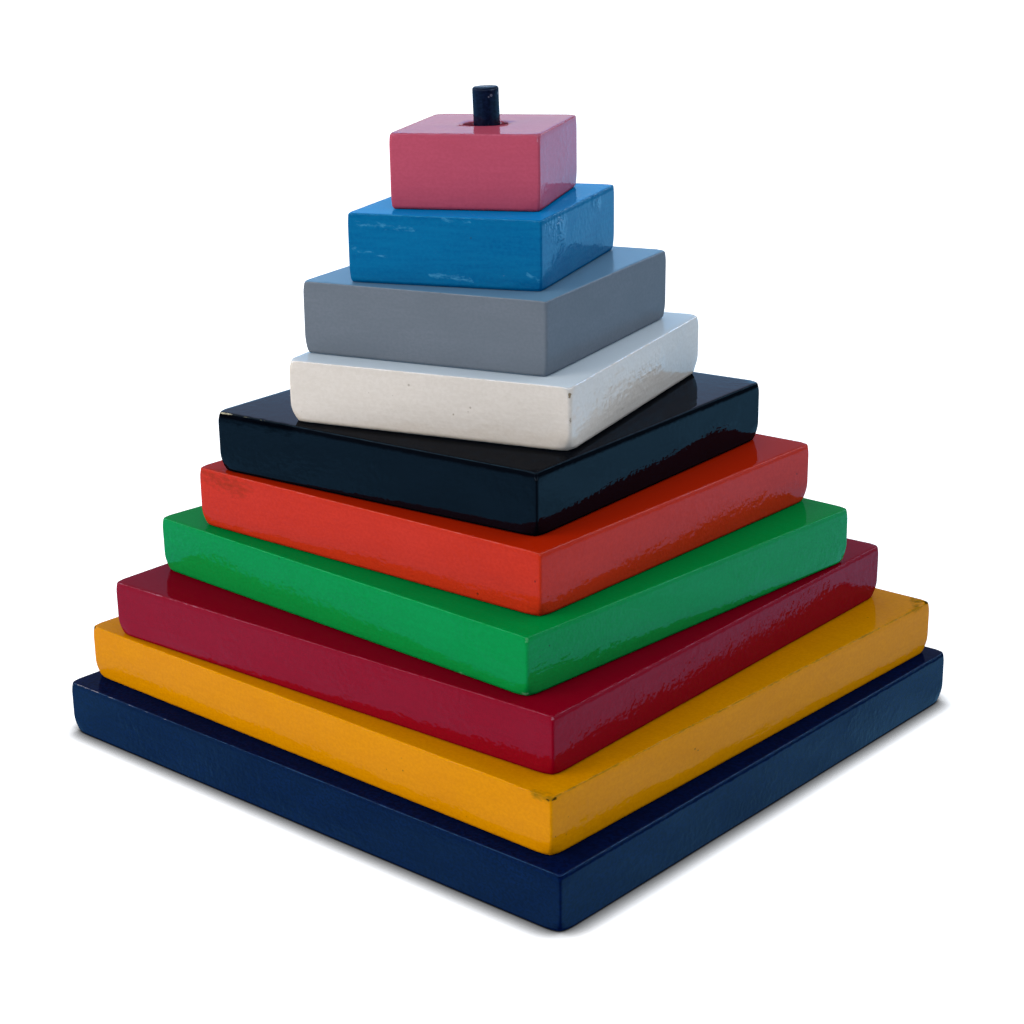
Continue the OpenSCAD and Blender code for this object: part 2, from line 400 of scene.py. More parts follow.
def sanded_block(size, radii, spacing, hole_at, hole_reach):
    """A solid board with rounded edges and an even grid of faces."""
    bm = bmesh.new()
    bmesh.ops.create_cube(bm, size=1)
    bmesh.ops.scale(bm, vec=size, verts=bm.verts)
    bmesh.ops.translate(bm, vec=(0, 0, size.z / 2), verts=bm.verts)
    fence = FENCE * max(radii.values())
    for axis in (0, 1):
        reach = size[axis] / 2 - fence
        for place in (-reach, hole_at[axis] - hole_reach, hole_at[axis] + hole_reach, reach):
            cut_across(bm, axis, place)
    for place in (fence, size.z - fence):
        cut_across(bm, 2, place)
    half = size / 2
    at_corner = {vert for vert in bm.verts if abs(abs(vert.co.x) - half.x) < TINY
                 and abs(abs(vert.co.y) - half.y) < TINY}
    corners = [edge for edge in bm.edges if at_corner.issuperset(edge.verts)]
    round_edges(bm, corners, radii["corner"])
    round_edges(bm, rim_edges(bm, size.z), radii["top"])
    round_edges(bm, rim_edges(bm, 0), radii["bottom"])
    for axis in (0, 1, 2):
        divide(bm, axis, spacing if axis < 2 else SIDE_GRID, hole_reach)
    return bm


trial = sanded_block(Vector((60, 50, 20)), {"corner": 2.6, "top": 1.2, "bottom": 2}, 2, (0, 0), 9)
print("A trial block has", len(trial.faces), "faces")
trial.free()

# %% [markdown]
# The hole was drilled before painting, so its rims are slightly eased and paint runs over them. A boolean
# cut would leave ragged faces in a mirror-like surface. Here the square grid over the hole is drawn in to
# rings, the faces inside the hole's ring are taken out, and the open ring is pulled down the bore in small
# steps. The loose boards' holes go right through. The base board's hole is blind and leans with the peg.
# %% Drill the hole
RIM_EASE = 0.3
EASE_STEPS = 4
HOLE_RING = HOLE_CELLS // 2 - 1


def ring_of(vert, hole_at, cell):
    """Which square ring of the grid round the hole a point belongs to."""
    return max(abs(vert.co.x - hole_at[0]), abs(vert.co.y - hole_at[1])) / cell


def open_ring(bm, height, hole_at, cell, radius):
    """Takes the grid's faces over the hole out and draws their rim in to a circle; gives its edges."""
    inside = [face for face in bm.faces if abs(face.calc_center_median().z - height) < TINY
              and all(ring_of(vert, hole_at, cell) < HOLE_RING + 0.1 for vert in face.verts)]
    bmesh.ops.delete(bm, geom=inside, context="FACES")
    rim = [edge for edge in bm.edges if edge.is_boundary
           and all(abs(vert.co.z - height) < TINY for vert in edge.verts)]
    for vert in {vert for edge in rim for vert in edge.verts}:
        away = vert.co - Vector((*hole_at, height))
        vert.co += away * (radius / away.length - 1)
    return rim


def pull_in(bm, rim, centre, ratio, shift):
    """Extrudes an open ring, shrinks it about its centre and shifts it; gives its new edges."""
    grown = bmesh.ops.extrude_edge_only(bm, edges=rim)["geom"]
    verts = [item for item in grown if isinstance(item, bmesh.types.BMVert)]
    bmesh.ops.scale(bm, vec=(ratio, ratio, 1), space=Matrix.Translation(-centre), verts=verts)
    bmesh.ops.translate(bm, vec=shift, verts=verts)
    return [item for item in grown if isinstance(item, bmesh.types.BMEdge) and item.is_boundary]


def ease_rim(bm, rim, centre, radius, side):
    """Pulls a ring over a quarter round into the bore; side is 1 at the top and -1 at the underside."""
    wide, deep = radius + RIM_EASE, 0
    for step in range(1, EASE_STEPS + 1):
        angle = math.pi / 2 * step / EASE_STEPS
        next_wide = radius + RIM_EASE * (1 - math.sin(angle))
        next_deep = RIM_EASE * (1 - math.cos(angle))
        rim = pull_in(bm, rim, centre, next_wide / wide, Vector((0, 0, side * (deep - next_deep))))
        wide, deep = next_wide, next_deep
    return rim


def drill(bm, size, hole_at, hole_reach, radius, floor_height):
    """Drills the board; floor_height is None for a through hole, or the height of the blind hole's floor."""
    cell = 2 * hole_reach / HOLE_CELLS
    centre = Vector((*hole_at, 0))
    top = open_ring(bm, size.z, hole_at, cell, radius + RIM_EASE)
    top = ease_rim(bm, top, centre, radius, 1)
    if floor_height is None:
        under = open_ring(bm, 0, hole_at, cell, radius + RIM_EASE)
        ease_rim(bm, under, centre, radius, -1)
        pull_in(bm, top, centre, 1, Vector((0, 0, 2 * RIM_EASE - size.z)))
        bmesh.ops.remove_doubles(bm, verts=bm.verts, dist=TINY)
    else:
        depth = size.z - RIM_EASE - floor_height
        bottom = pull_in(bm, top, centre, 1, LEAN * (-depth / LEAN.z))
        bmesh.ops.contextual_create(bm, geom=bottom)
    bmesh.ops.recalc_face_normals(bm, faces=bm.faces)


print("Bore: eased rims,", 8 * HOLE_RING, "sides")

# %% [markdown]
# No sawn and hand-sanded board is flat. Long shallow waves in the sides bend the line where the mirror
# image of the board below ends, which is what makes the enamel look real. The low ends of the upright
# corners were sanded much rounder than the rest, and their top ends are knocked a little round by use. All
# of it only goes inwards, so a board never grows into its neighbour.
# %% Waves and knocked corners
LONG_WAVE = 34
SHORT_WAVE = 13
SHORT_SHARE = 0.35
TOP_WAVE = 30
RIM_WAVE = 9
SANDING_FADE = 7
CORNER_REACH = 6
KNOCK_REACH = 4


def waves(point, seed, wave_length):
    """Smooth noise from 0 to 1 with that wave length in millimetres."""
    return 0.5 + 0.5 * noise.noise(point / wave_length + Vector((seed, 2.7 * seed, -1.3 * seed)))


def ridge(value, centre, spread):
    """1 at the centre, falling to 0 at the spread."""
    return max(0, 1 - abs(value - centre) / spread)


def corner_share(distances, reach):
    """1 at a corner, falling to 0 where any of the three distances from it passes the reach."""
    return math.prod(max(0, 1 - distance / reach) ** 2 for distance in distances)


def wave_depth(vert, look, seed):
    """How deep the waves of the sides, the flats and the rims between them go at a point."""
    up = abs(vert.normal.z)
    long, short = waves(vert.co, seed, LONG_WAVE), waves(vert.co, seed + 5, SHORT_WAVE)
    side = look.side_wave * (long + SHORT_SHARE * short)
    top = look.top_wave * waves(vert.co, seed + 9, TOP_WAVE)
    rim = look.rim_wave * waves(vert.co, seed + 3, RIM_WAVE)
    return (1 - up) * side + up * top + ridge(up, 0.6, 0.4) * rim


def sand_by_hand(bm, size, look, seed, hole_at, hole_reach):
    """Moves the outer faces inwards by the waves, and the ends of the upright corners by their wear."""
    bm.normal_update()
    moves = {}
    for vert in bm.verts:
        from_hole = (vert.co.xy - Vector(hole_at)).length - hole_reach
        if from_hole < 0:
            continue
        strength = min(1, from_hole / SANDING_FADE)
        inset = [size[axis] / 2 - abs(vert.co[axis]) for axis in (0, 1)]
        worn = look.low_corner * corner_share((*inset, vert.co.z), CORNER_REACH)
        knocked = look.top_corner * corner_share((*inset, size.z - vert.co.z), KNOCK_REACH)
        inward = Vector((-math.copysign(worn + knocked, vert.co.x), -math.copysign(worn + knocked, vert.co.y),
                         -knocked))
        moves[vert] = inward - wave_depth(vert, look, seed) * strength * vert.normal
    for vert, move in moves.items():
        vert.co += move


print("Hand sanding: waves of", LONG_WAVE, "and", SHORT_WAVE, "mm on the sides,", TOP_WAVE, "mm on the tops")

# %% [markdown]
# Wear follows the shape: paint is thin on the arrises, and knocks hit corners. So the mesh carries wear, and
# some painted light, as attributes of its points, which move with it and which the enamel reads. "top_edge",
# "low_edge" and "upright" say how near a point is to each kind of edge. The strokes of chips, pale marks,
# grime and bubbles are laid at listed places: each runs from one point of the board to another and fades
# over its reach in millimetres. Pale strokes are mostly worn paint; on the blue board's left face they are
# painted highlights of the sky. Grime strokes darken the paint; on the black and blue boards they are painted
# dark reflections. The points lie too far apart for a speck, so single specks on the faces are placed in the
# material. A place is written as shares of the board: X and Y from -1 to 1, Z from 0 at the underside to 1
# at the top.
# %% Paint wear onto the points
STROKES = ("chip", "pale", "grime_and_dark_reflection", "bubbles")
EDGES = ("top_edge", "low_edge", "upright")
EDGE_SLOPE = 0.7
EDGE_SPREAD = 0.6


def board_point(size, shares):
    """The point of a board at those shares of its size."""
    return Vector((shares[0] * size.x / 2, shares[1] * size.y / 2, shares[2] * size.z))


def mark_edges(bm, hole_at, hole_reach):
    """Writes how near each point outside the hole is to a top edge, a low edge and an upright edge."""
    bm.normal_update()
    layers = [bm.verts.layers.float.new(kind) for kind in EDGES]
    for vert in bm.verts:
        if (vert.co.xy - Vector(hole_at)).length < hole_reach:
            continue
        slopes = (vert.normal.z, -vert.normal.z, min(abs(vert.normal.x), abs(vert.normal.y)))
        for layer, slope in zip(layers, slopes):
            vert[layer] = ridge(slope, EDGE_SLOPE, EDGE_SPREAD)


def mark_wear_and_painted_light(bm, size, marks):
    """Writes strokes of wear and of painted light: each is kind, start, end, reach in mm and strength."""
    layers = {kind: bm.verts.layers.float.new(kind) for kind in STROKES}
    for kind, start, end, reach, strength in marks:
        a, b = board_point(size, start), board_point(size, end)
        run = b - a
        for vert in bm.verts:
            share = 0 if run.length < TINY else max(0, min(1, (vert.co - a).dot(run) / run.length_squared))
            away = (vert.co - a - share * run).length
            if away < reach:
                vert[layers[kind]] = max(vert[layers[kind]], strength * (1 - away / reach))


print("Wear is written as", ", ".join(STROKES + EDGES))

# %% [markdown]
# The finish on every piece is brushing enamel, an alkyd gloss paint. It dries to a hard glass-like skin
# with an IOR of about 1.5 and hardly any roughness of its own. What shows that it isn't plastic is the
# brush: fine ridges a millimetre or so apart that run along the stroke, a softer orange peel of two or
# three millimetres where the paint pulled together, and a colour that is a little darker where it lies
# thick. All lengths in the material are millimetres on the board, turned with it. One value, "paint",
# gathers the patterns of a piece.
# %% Patterns that the brush left
CLOUD_MM = (26, 26, 12)
MOTTLE_MM = (1.1, 1.1, 0.8)
FRAYED_MM = (3.0, 3.0, 1.2)


def start_paint(name, board, look):
    """An empty material, with a point's place in the board's own millimetres and the slope it lies on."""
    material = new_material(name)
    tree = material.node_tree
    coordinates = add(tree, "TexCoord")
    turned = Matrix.Rotation(-board.turn, 3, "Z")
    place = add(tree, "Mapping", {"Vector": coordinates.outputs["Object"], "Scale": [1 / MM] * 3,
                                  "Rotation": (0, 0, -board.turn), "Location": -(turned @ board.centre)})
    up = add(tree, "SeparateXYZ", {0: coordinates.outputs["Normal"]}).outputs["Z"]
    to_right = (math.cos(board.turn), math.sin(board.turn), 0)
    right = add(tree, "VectorMath", {0: coordinates.outputs["Normal"], 1: to_right}, operation="DOT_PRODUCT")
    return SimpleNamespace(material=material, tree=tree, board=board, look=look, place=place, up=up,
                           right=right)


def grains(paint, lengths, shift, detail=2.0, roughness=0.5, warp=0.0):
    """Noise from 0 to 1 whose grains have those lengths in millimetres along X, Y and Z."""
    scaled = add(paint.tree, "Mapping", {"Vector": paint.place, "Scale": [1 / length for length in lengths],
                                         "Location": [shift + paint.look.seed] * 3})
    return add(paint.tree, "TexNoise", {"Vector": scaled, "Scale": 1.0, "Detail": detail,
                                        "Roughness": roughness, "Distortion": warp})


def brush_marks(paint):
    """Adds strokes, orange peel, clouds of thick paint, a fine mottling and a pattern of frayed paint."""
    look = paint.look
    level = add(paint.tree, "Math", {0: paint.up}, operation="ABSOLUTE")
    paint.flat = add(paint.tree, "MapRange", {"Value": level, "From Min": 0.6, "From Max": 0.9})
    on_sides = grains(paint, (look.stroke, look.stroke, look.bristle), 0.0, warp=0.35)
    on_flats = grains(paint, (look.stroke, look.bristle, look.stroke), 3.1, warp=0.35)
    paint.strokes = add(paint.tree, "Mix", {"Factor": paint.flat, "A": on_sides, "B": on_flats})
    paint.peel = grains(paint, [look.peel] * 3, 7.7, detail=1.0)
    paint.cloud = grains(paint, CLOUD_MM, 5.3, detail=3.0, warp=0.6)
    paint.mottle = grains(paint, MOTTLE_MM, 17.0)
    paint.frayed = grains(paint, FRAYED_MM, 11.0, detail=4.0, roughness=0.65)


print("Brush patterns: clouds of", CLOUD_MM[0], "mm and a mottling of", MOTTLE_MM[0], "mm")

# %% [markdown]
# Three steps come back all the time when paint is mixed, and each is one loop over a list. A heap adds
# patterns up, each times its own height. A fade dims a value where patterns rise. Coats lie over each
# other, each with a pattern that says where it covers.
# %% Heap, fade and coat
def heap(tree, base, parts, **options):
    """A base value plus patterns, each times its own height."""
    for pattern, height in parts:
        base = add(tree, "Math", {0: pattern, 1: height, 2: base}, operation="MULTIPLY_ADD", **options)
    return base


def fade(tree, value, losses):
    """Dims a value: each loss is a pattern, where it starts and ends, and the share that is left then."""
    for pattern, start, end, left in losses:
        keep = add(tree, "MapRange", {"Value": pattern, "From Min": start, "From Max": end, "To Min": 1.0,
                                      "To Max": left})
        value = add(tree, "Math", {0: value, 1: keep}, operation="MULTIPLY")
    return value


def coat_over(tree, colour, coats):
    """Covers a colour: each coat is a pattern, where it starts and is full, its share then and its colour."""
    for pattern, start, end, share, over in coats:
        cover = add(tree, "MapRange", {"Value": pattern, "From Min": start, "From Max": end, "To Max": share})
        colour = add(tree, "Mix", {"Factor": cover, "A": colour, "B": linear(over)}, data_type="RGBA")
    return colour


print("Paint is mixed by heap, fade and coat_over")

# %% [markdown]
# Wear lies in the painted coat. A stroke that was written onto the points has a soft outline, so the frayed
# pattern tears it ragged, hardest for chips, because enamel flakes. Along the top edges, where the paint is
# thin, the broken lines are worn-through paint and a painted highlight of the sky on the rounded arris, and
# along the low edges they are darker. Dust that settled in the wet paint left small round specks, one in
# about every second cell of a cell pattern.
# %% Worn patches, painted highlights and dark reflections, edge lines and specks
RAGGED = 0.7
SOFTNESS = {"grime_and_dark_reflection": 0.3, "pale": 0.2, "chip": 0.06}
SPECK_CHANCE = 0.45
SPECK_RIM = 0.15


def written(tree, kind):
    """The wear of that kind, as it was written onto the points."""
    return add(tree, "Attribute", attribute_name=kind).outputs["Fac"]


def wear_and_painted_light_marks(paint):
    """Adds the worn patches, painted highlights and dark reflections, and the broken edge lines, each from 0 to 1.
    """
    tree = paint.tree
    ragged = add(tree, "MapRange", {"Value": paint.frayed, "From Min": 0.3, "From Max": 0.7,
                                    "To Min": -RAGGED / 2, "To Max": RAGGED / 2})
    paint.worn = {}
    for kind, softness in SOFTNESS.items():
        uneven = add(tree, "Math", {0: written(tree, kind), 1: ragged}, operation="ADD")
        inside = add(tree, "MapRange", {"Value": written(tree, kind), "From Max": 0.15})
        patch = add(tree, "Math", {0: uneven, 1: inside}, operation="MULTIPLY")
        paint.worn[kind] = add(tree, "MapRange", {"Value": patch, "From Min": 0.5 - softness,
                                                  "From Max": 0.5 + softness})
    rim = add(tree, "MapRange", {"Value": written(tree, "top_edge"), "From Min": 0.7, "From Max": 0.95})
    paint.worn["top_line"] = fade(tree, rim, [(paint.frayed, 0.6, 0.38, 0.2)])
    paint.worn["low_line"] = fade(tree, written(tree, "low_edge"), [(paint.frayed, 0.62, 0.42, 0.3)])


def dust_specks(paint):
    """Adds the specks of dust, each from 0 to 1."""
    tree, pitch = paint.tree, paint.look.speck_pitch
    cells = add(tree, "TexVoronoi", {"Vector": paint.place, "Scale": 1 / pitch, "Randomness": 1.0})
    chance = add(tree, "SeparateColor", {0: cells.outputs["Color"]})
    size = add(tree, "MapRange", {"Value": chance, "From Min": SPECK_CHANCE,
                                  "To Max": paint.look.speck_size / pitch})
    inside = add(tree, "Math", {0: size, 1: cells.outputs["Distance"]}, operation="SUBTRACT")
    paint.worn["speck"] = add(tree, "MapRange", {"Value": inside, "From Max": SPECK_RIM / pitch})


print("Wear patterns:", ", ".join(SOFTNESS), "and specks in", f"{1 - SPECK_CHANCE:.0%} of the cells")

# %% [markdown]
# The colour starts from the paint in the tin and gets one coat after another: thicker paint, a painted light
# and shade on the tops as the open sky lights them, then the edge lines, which are worn paint and a painted
# highlight, the darker low edges, grime, which on the black and blue boards is a painted dark reflection, pale
# marks, which on the blue board are painted highlights, dust, the small listed spots, and the chips on top,
# because they are the newest.
# %% Colour
GRIME_AND_DARK_REFLECTION_COVER = 0.75
PALE_COVER = 0.9
SPOT_COVER = 0.8


def spot_coats(paint):
    """A coat for each small spot: its pattern is a point's ragged distance from the spot's place."""
    board, look = paint.board, paint.look
    grit = add(paint.tree, "MapRange", {"Value": paint.frayed, "From Min": 0.3, "From Max": 0.7})
    coats = []
    for shares, radius in look.spots:
        at = board_point(Vector((board.length, board.width, board.thick)), shares)
        away = add(paint.tree, "VectorMath", {0: paint.place, 1: at}, operation="DISTANCE")
        away = heap(paint.tree, away, [(grit, 0.8 * radius)])
        coats.append((away, 1.5 * radius, 0.8 * radius, SPOT_COVER, look.chip_colour))
    return coats


def paint_colour(paint):
    """The colour of the paint with all that has happened to it."""
    look, worn = paint.look, paint.worn
    return coat_over(paint.tree, linear(look.colour), [
        (paint.strokes, 0.35, 0.75, look.streaky, look.thick_colour),
        (paint.cloud, 0.4, 0.75, look.cloudy, look.thick_colour),
        (paint.mottle, 0.4, 0.62, look.mottled, look.thick_colour),
        # The tops get a painted light and shade: the colour that the open sky's light gives them.
        (paint.flat, 0, 1, look.top_tint, look.top_colour),
        # The top edge lines are worn paint and a painted highlight of the sky on the rounded arris.
        (worn["top_line"], 0, 1, look.edge_wear, look.edge_colour),
        # Along the low edges the colour is darkened in broken lines.
        (worn["low_line"], 0.5, 0.8, look.low_wear, look.grime_colour),
        # Grime darkens the paint; on the black and blue boards it is a painted dark reflection.
        (worn["grime_and_dark_reflection"], 0, 1, GRIME_AND_DARK_REFLECTION_COVER, look.grime_colour),
        # Pale marks are mostly worn paint; on the blue board they are painted highlights.
        (worn["pale"], 0, 1, PALE_COVER, look.pale_colour),
        (worn["speck"], 0, 1, look.specks, look.speck_colour),
        *spot_coats(paint),
        (worn["chip"], 0, 1, 1, look.chip_colour)])


print("Colour: nine coats, the spots and the chips")

# %% [markdown]
# The relief is what bends the mirror images. Strokes and orange peel are calm in places, stronger where
# bubbles were written onto the points, and rubbed nearly flat on the tops. Specks stand up, and chips lie
# deeper.
# %% Relief
BUBBLE_RELIEF = 3.0
TOP_RELIEF = 0.2
CHIP_DEPTH = 0.12


def paint_relief(paint):
    """The bump of the paint, with heights in millimetres."""
    tree, look, worn = paint.tree, paint.look, paint.worn
    patchy = add(tree, "MapRange", {"Value": paint.cloud, "From Min": 0.42, "From Max": 0.6,
                                    "To Min": look.calm})
    patchy = heap(tree, patchy, [(written(tree, "bubbles"), BUBBLE_RELIEF)])
    patchy = fade(tree, patchy, [(paint.flat, 0, 1, TOP_RELIEF)])
    brushed = heap(tree, 0.0, [(paint.strokes, look.stroke_depth), (paint.peel, look.peel_depth)])
    brushed = add(tree, "Math", {0: brushed, 1: patchy}, operation="MULTIPLY")
    relief = heap(tree, brushed, [(paint.mottle, look.fine_depth), (worn["speck"], look.nib_height),
                                  (worn["chip"], -CHIP_DEPTH)])
    return add(tree, "Bump", {"Height": relief, "Strength": 1.0, "Distance": MM})


print(f"Relief: chips {CHIP_DEPTH} mm deep, tops rubbed to {TOP_RELIEF} of the sides' relief")

# %% [markdown]
# The gloss says how much of the mirror is left. It depends on the slope, which is -1 facing down, 0 upright
# and 1 facing up: full on the sides and small on the tops, which the boards above rub dull. On the sides a
# lip of thick paint runs just under the top edge and breaks the mirror in a wavy band, on most boards
# mainly on the right faces. The top edge lines, worn paint with a painted highlight, shine a little, while
# chips, grime with its painted dark reflections, and the upright corners are dull.
# %% Gloss
LIP_WANDER = 0.25
LIP_CORE = 0.4
GRIME_AND_DARK_REFLECTION_GLOSS = 0.3


def paint_lip(paint):
    """How much of the mirror the lip of thick paint takes away."""
    tree, look = paint.tree, paint.look
    height = add(tree, "SeparateXYZ", {0: paint.place}).outputs["Z"]
    below = add(tree, "Math", {0: paint.board.thick - look.lip_at, 1: height}, operation="SUBTRACT")
    wavy = add(tree, "MapRange", {"Value": paint.frayed, "From Min": 0.3, "From Max": 0.7,
                                  "To Min": -LIP_WANDER, "To Max": LIP_WANDER})
    below = add(tree, "Math", {0: heap(tree, below, [(wavy, 1)])}, operation="ABSOLUTE")
    lip = add(tree, "MapRange", {"Value": below, "From Min": look.lip_half,
                                 "From Max": LIP_CORE * look.lip_half, "To Max": look.lip_depth})
    return fade(tree, lip, [(paint.up, 0.2, 0.5, 0), (paint.right, 0.7, 0.2, look.lip_left)])


def paint_gloss(paint):
    """The share of the mirror: by the slope first, then less where the lip and the wear take it away."""
    tree, look, worn = paint.tree, paint.look, paint.worn
    by_slope = ((-0.35, look.low_coat), (-0.1, look.coat), (0.08, look.coat), (0.25, look.edge_coat),
                (0.9, look.edge_coat), (0.985, look.top_coat))
    ramp = add(tree, "ValToRGB", {"Fac": add(tree, "MapRange", {"Value": paint.up, "From Min": -1.0})})
    gloss = set_stops(ramp, [((up + 1) / 2, (share, share, share, 1)) for up, share in by_slope])
    gloss = fade(tree, gloss, [(paint.right, 0.2, 0.7, look.right_gloss)])
    if look.lip_depth:
        gloss = fade(tree, gloss, [(paint_lip(paint), 0, 1, 0)])
    gloss = heap(tree, gloss, [(worn["top_line"], look.line_coat)])
    return fade(tree, gloss, [(worn["chip"], 0, 1, 0), (worn["grime_and_dark_reflection"], 0, 1, GRIME_AND_DARK_REFLECTION_GLOSS),
                              (written(tree, "upright"), 0.4, 0.8, look.upright_coat)])


print(f"Gloss: grime leaves {GRIME_AND_DARK_REFLECTION_GLOSS} of it")

# %% [markdown]
# Now the enamel is put together. The colour is the shader's base, without a gleam of its own, and the
# mirror is its coat, so the share of the mirror can be set apart from the paint below it.
# %% Enamel
ENAMEL_IOR = 1.5
CHIP_ROUGHNESS = 0.45
GRIME_AND_DARK_REFLECTION_ROUGHNESS = 0.2


def enamel(name, board, look):
    """The brushed gloss enamel of one piece."""
    paint = start_paint(name, board, look)
    tree = paint.tree
    brush_marks(paint)
    wear_and_painted_light_marks(paint)
    dust_specks(paint)
    bare = add(tree, "MapRange", {"Value": paint.cloud, "From Min": 0.3, "From Max": 0.8,
                                  "To Min": look.roughness, "To Max": look.roughness + look.rough_range})
    roughening = [(paint.worn["chip"], CHIP_ROUGHNESS), (paint.worn["grime_and_dark_reflection"], GRIME_AND_DARK_REFLECTION_ROUGHNESS)]
    roughness = heap(tree, bare, roughening, use_clamp=True)
    relief = paint_relief(paint)
    shader = add(tree, "BsdfPrincipled", {
        "Base Color": paint_colour(paint), "Roughness": roughness, "IOR": ENAMEL_IOR, "Normal": relief,
        "Specular IOR Level": 0.0, "Coat Weight": paint_gloss(paint), "Coat IOR": ENAMEL_IOR,
        "Coat Roughness": look.coat_roughness, "Coat Normal": relief})
    add(tree, "OutputMaterial", {"Surface": shader})
    return paint.material


print("Enamel: a paint with an IOR of", ENAMEL_IOR, "that all the pieces share")

# %% [markdown]
# The plain look holds what all the boards share, with lengths in millimetres. Each board then says only
# what differs. A mark is a stroke: most are wear, and some are painted highlights and painted dark
# reflections. A spot is a place with a radius.
# %% What each board looks like
PLAIN = dict(
    top=0.6, bottom=1.1, corner=1.0, side_wave=0.25, top_wave=0.05, rim_wave=0.12, low_corner=1.5,
    top_corner=0.5, marks=[], spots=[], stroke=14.0, bristle=1.3, stroke_depth=0.05, peel=2.0,
    peel_depth=0.16, fine_depth=0.012, calm=0.25, streaky=0.35, cloudy=0.35, mottled=0.5, top_tint=0.0,
    top_colour="#000000", roughness=0.4, rough_range=0.1, coat=SIDE_COAT, edge_coat=0.05, line_coat=0.05,
    top_coat=0.04, low_coat=0.02, upright_coat=0.2, coat_roughness=0.03, lip_at=1.1, lip_half=0.6,
    lip_depth=0.7, lip_left=0.3, right_gloss=1.0, edge_wear=0.55, low_wear=0.1, speck_pitch=9.0,
    speck_size=0.5, specks=0.3, nib_height=0.006, chip_colour="#1a1a14", speck_colour="#2a2018",
    grime_colour="#5a5228", pale_colour="#c8c0b0")
